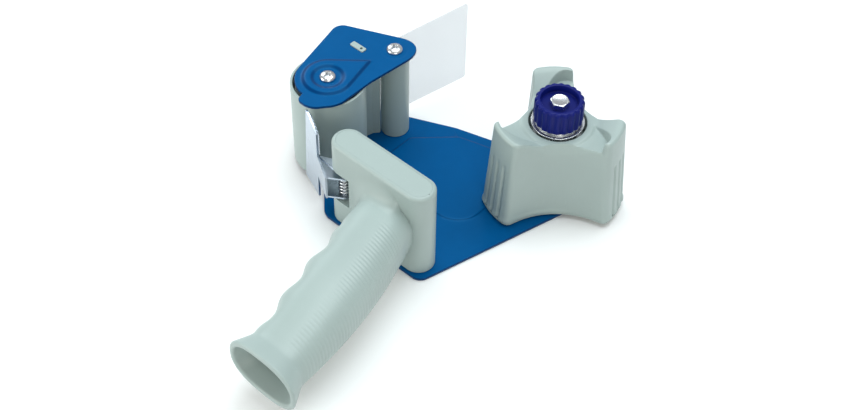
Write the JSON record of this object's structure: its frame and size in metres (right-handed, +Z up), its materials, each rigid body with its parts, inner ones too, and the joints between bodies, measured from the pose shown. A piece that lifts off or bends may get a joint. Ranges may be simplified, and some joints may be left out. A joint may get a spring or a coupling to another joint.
{
  "type": "tape dispenser",
  "caption": "Hand-held packing-tape dispenser with pistol grip, core hub with brake knob, tape roller, spring blade and clear flap.",
  "frame": {"origin": "on the core hub's axis, at the underside of the side plate that the dispenser lies on", "axes": "+Z up along the hub axis, +X along the long side of the handle block, -Y from the hub towards the grip"},
  "size_m": [0.1626, 0.2313, 0.065],
  "materials": {
    "blue_paint": "gloss enamel on pressed sheet steel",
    "grey_plastic": "satin moulded plastic",
    "knob_plastic": "gloss moulded plastic",
    "clear_sheet": "translucent flexible sheet",
    "zinc_steel": "bright zinc plate",
    "blade_steel": "nickel-plated sheet steel",
    "turned_steel": "turned bar",
    "fibre": "pressed fibre friction washer"
  },
  "bodies": {
    "frame": {"frame_plate": "blue_paint", "head_plate": "blue_paint", "roller_screw_top": "zinc_steel", "post_screw_top": "zinc_steel", "roller_screw_bottom": "zinc_steel", "post_screw_bottom": "zinc_steel", "handle_screw_1": "zinc_steel", "handle_screw_2": "zinc_steel", "roller_axle": "turned_steel", "spacer_post": "grey_plastic", "flap_holder": "grey_plastic", "flap_root": "clear_sheet", "handle": "grey_plastic", "handle_cap": "grey_plastic", "blade_pin": "turned_steel", "hub_post": "turned_steel", "friction_washer": "fibre", "seat_washer": "zinc_steel", "brake_spring": "zinc_steel"},
    "roller": {"roller_drum": "grey_plastic", "roller_hub_lower": "grey_plastic", "roller_hub_upper": "grey_plastic"},
    "flap": {"tape_flap": "clear_sheet"},
    "blade": {"blade_arm": "blade_steel", "cutting_blade": "blade_steel", "blade_spring": "turned_steel"},
    "hub": {"hub_shell": "grey_plastic", "hub_base": "grey_plastic"},
    "pressure": {"pressure_washer": "zinc_steel", "spring_washer": "zinc_steel"},
    "knob": {"brake_knob": "knob_plastic", "knob_bolt": "zinc_steel"}
  },
  "joints": [
    {"name": "roller_spin", "type": "hinge", "parent": "frame", "child": "roller", "pos_m": [-0.10016, -0.06104, 0.028], "axis": [0, 0, 1], "continuous": true},
    {"name": "hub_spin", "type": "hinge", "parent": "frame", "child": "hub", "pos_m": [0, 0, 0.03], "axis": [0, 0, 1], "continuous": true},
    {"name": "flap_flex", "type": "hinge", "parent": "frame", "child": "flap", "pos_m": [-0.09921, -0.02847, 0.03], "axis": [0, 0, 1], "range_deg": [-2.5, 30], "stiffness_Nm_per_rad": 0.01},
    {"name": "blade_swing", "type": "hinge", "parent": "frame", "child": "blade", "pos_m": [-0.0634, -0.0872, 0.026], "axis": [0, 0, 1], "range_deg": [0, 14], "stiffness_Nm_per_rad": 0.06, "springref_deg": -8.59},
    {"name": "knob_travel", "type": "slide", "parent": "frame", "child": "pressure", "axis": [0, 0, -1], "range_m": [-0.002, 0.001], "deforming": ["brake_spring"]},
    {"name": "knob_turn", "type": "hinge", "parent": "pressure", "child": "knob", "pos_m": [0, 0, 0.055], "axis": [0, 0, -1], "range_deg": [-725.5, 365.5]}
  ],
  "couplings": [
    {"joint": "knob_turn", "follows": "knob_travel", "rad_per_m": 6283.2}
  ]
}
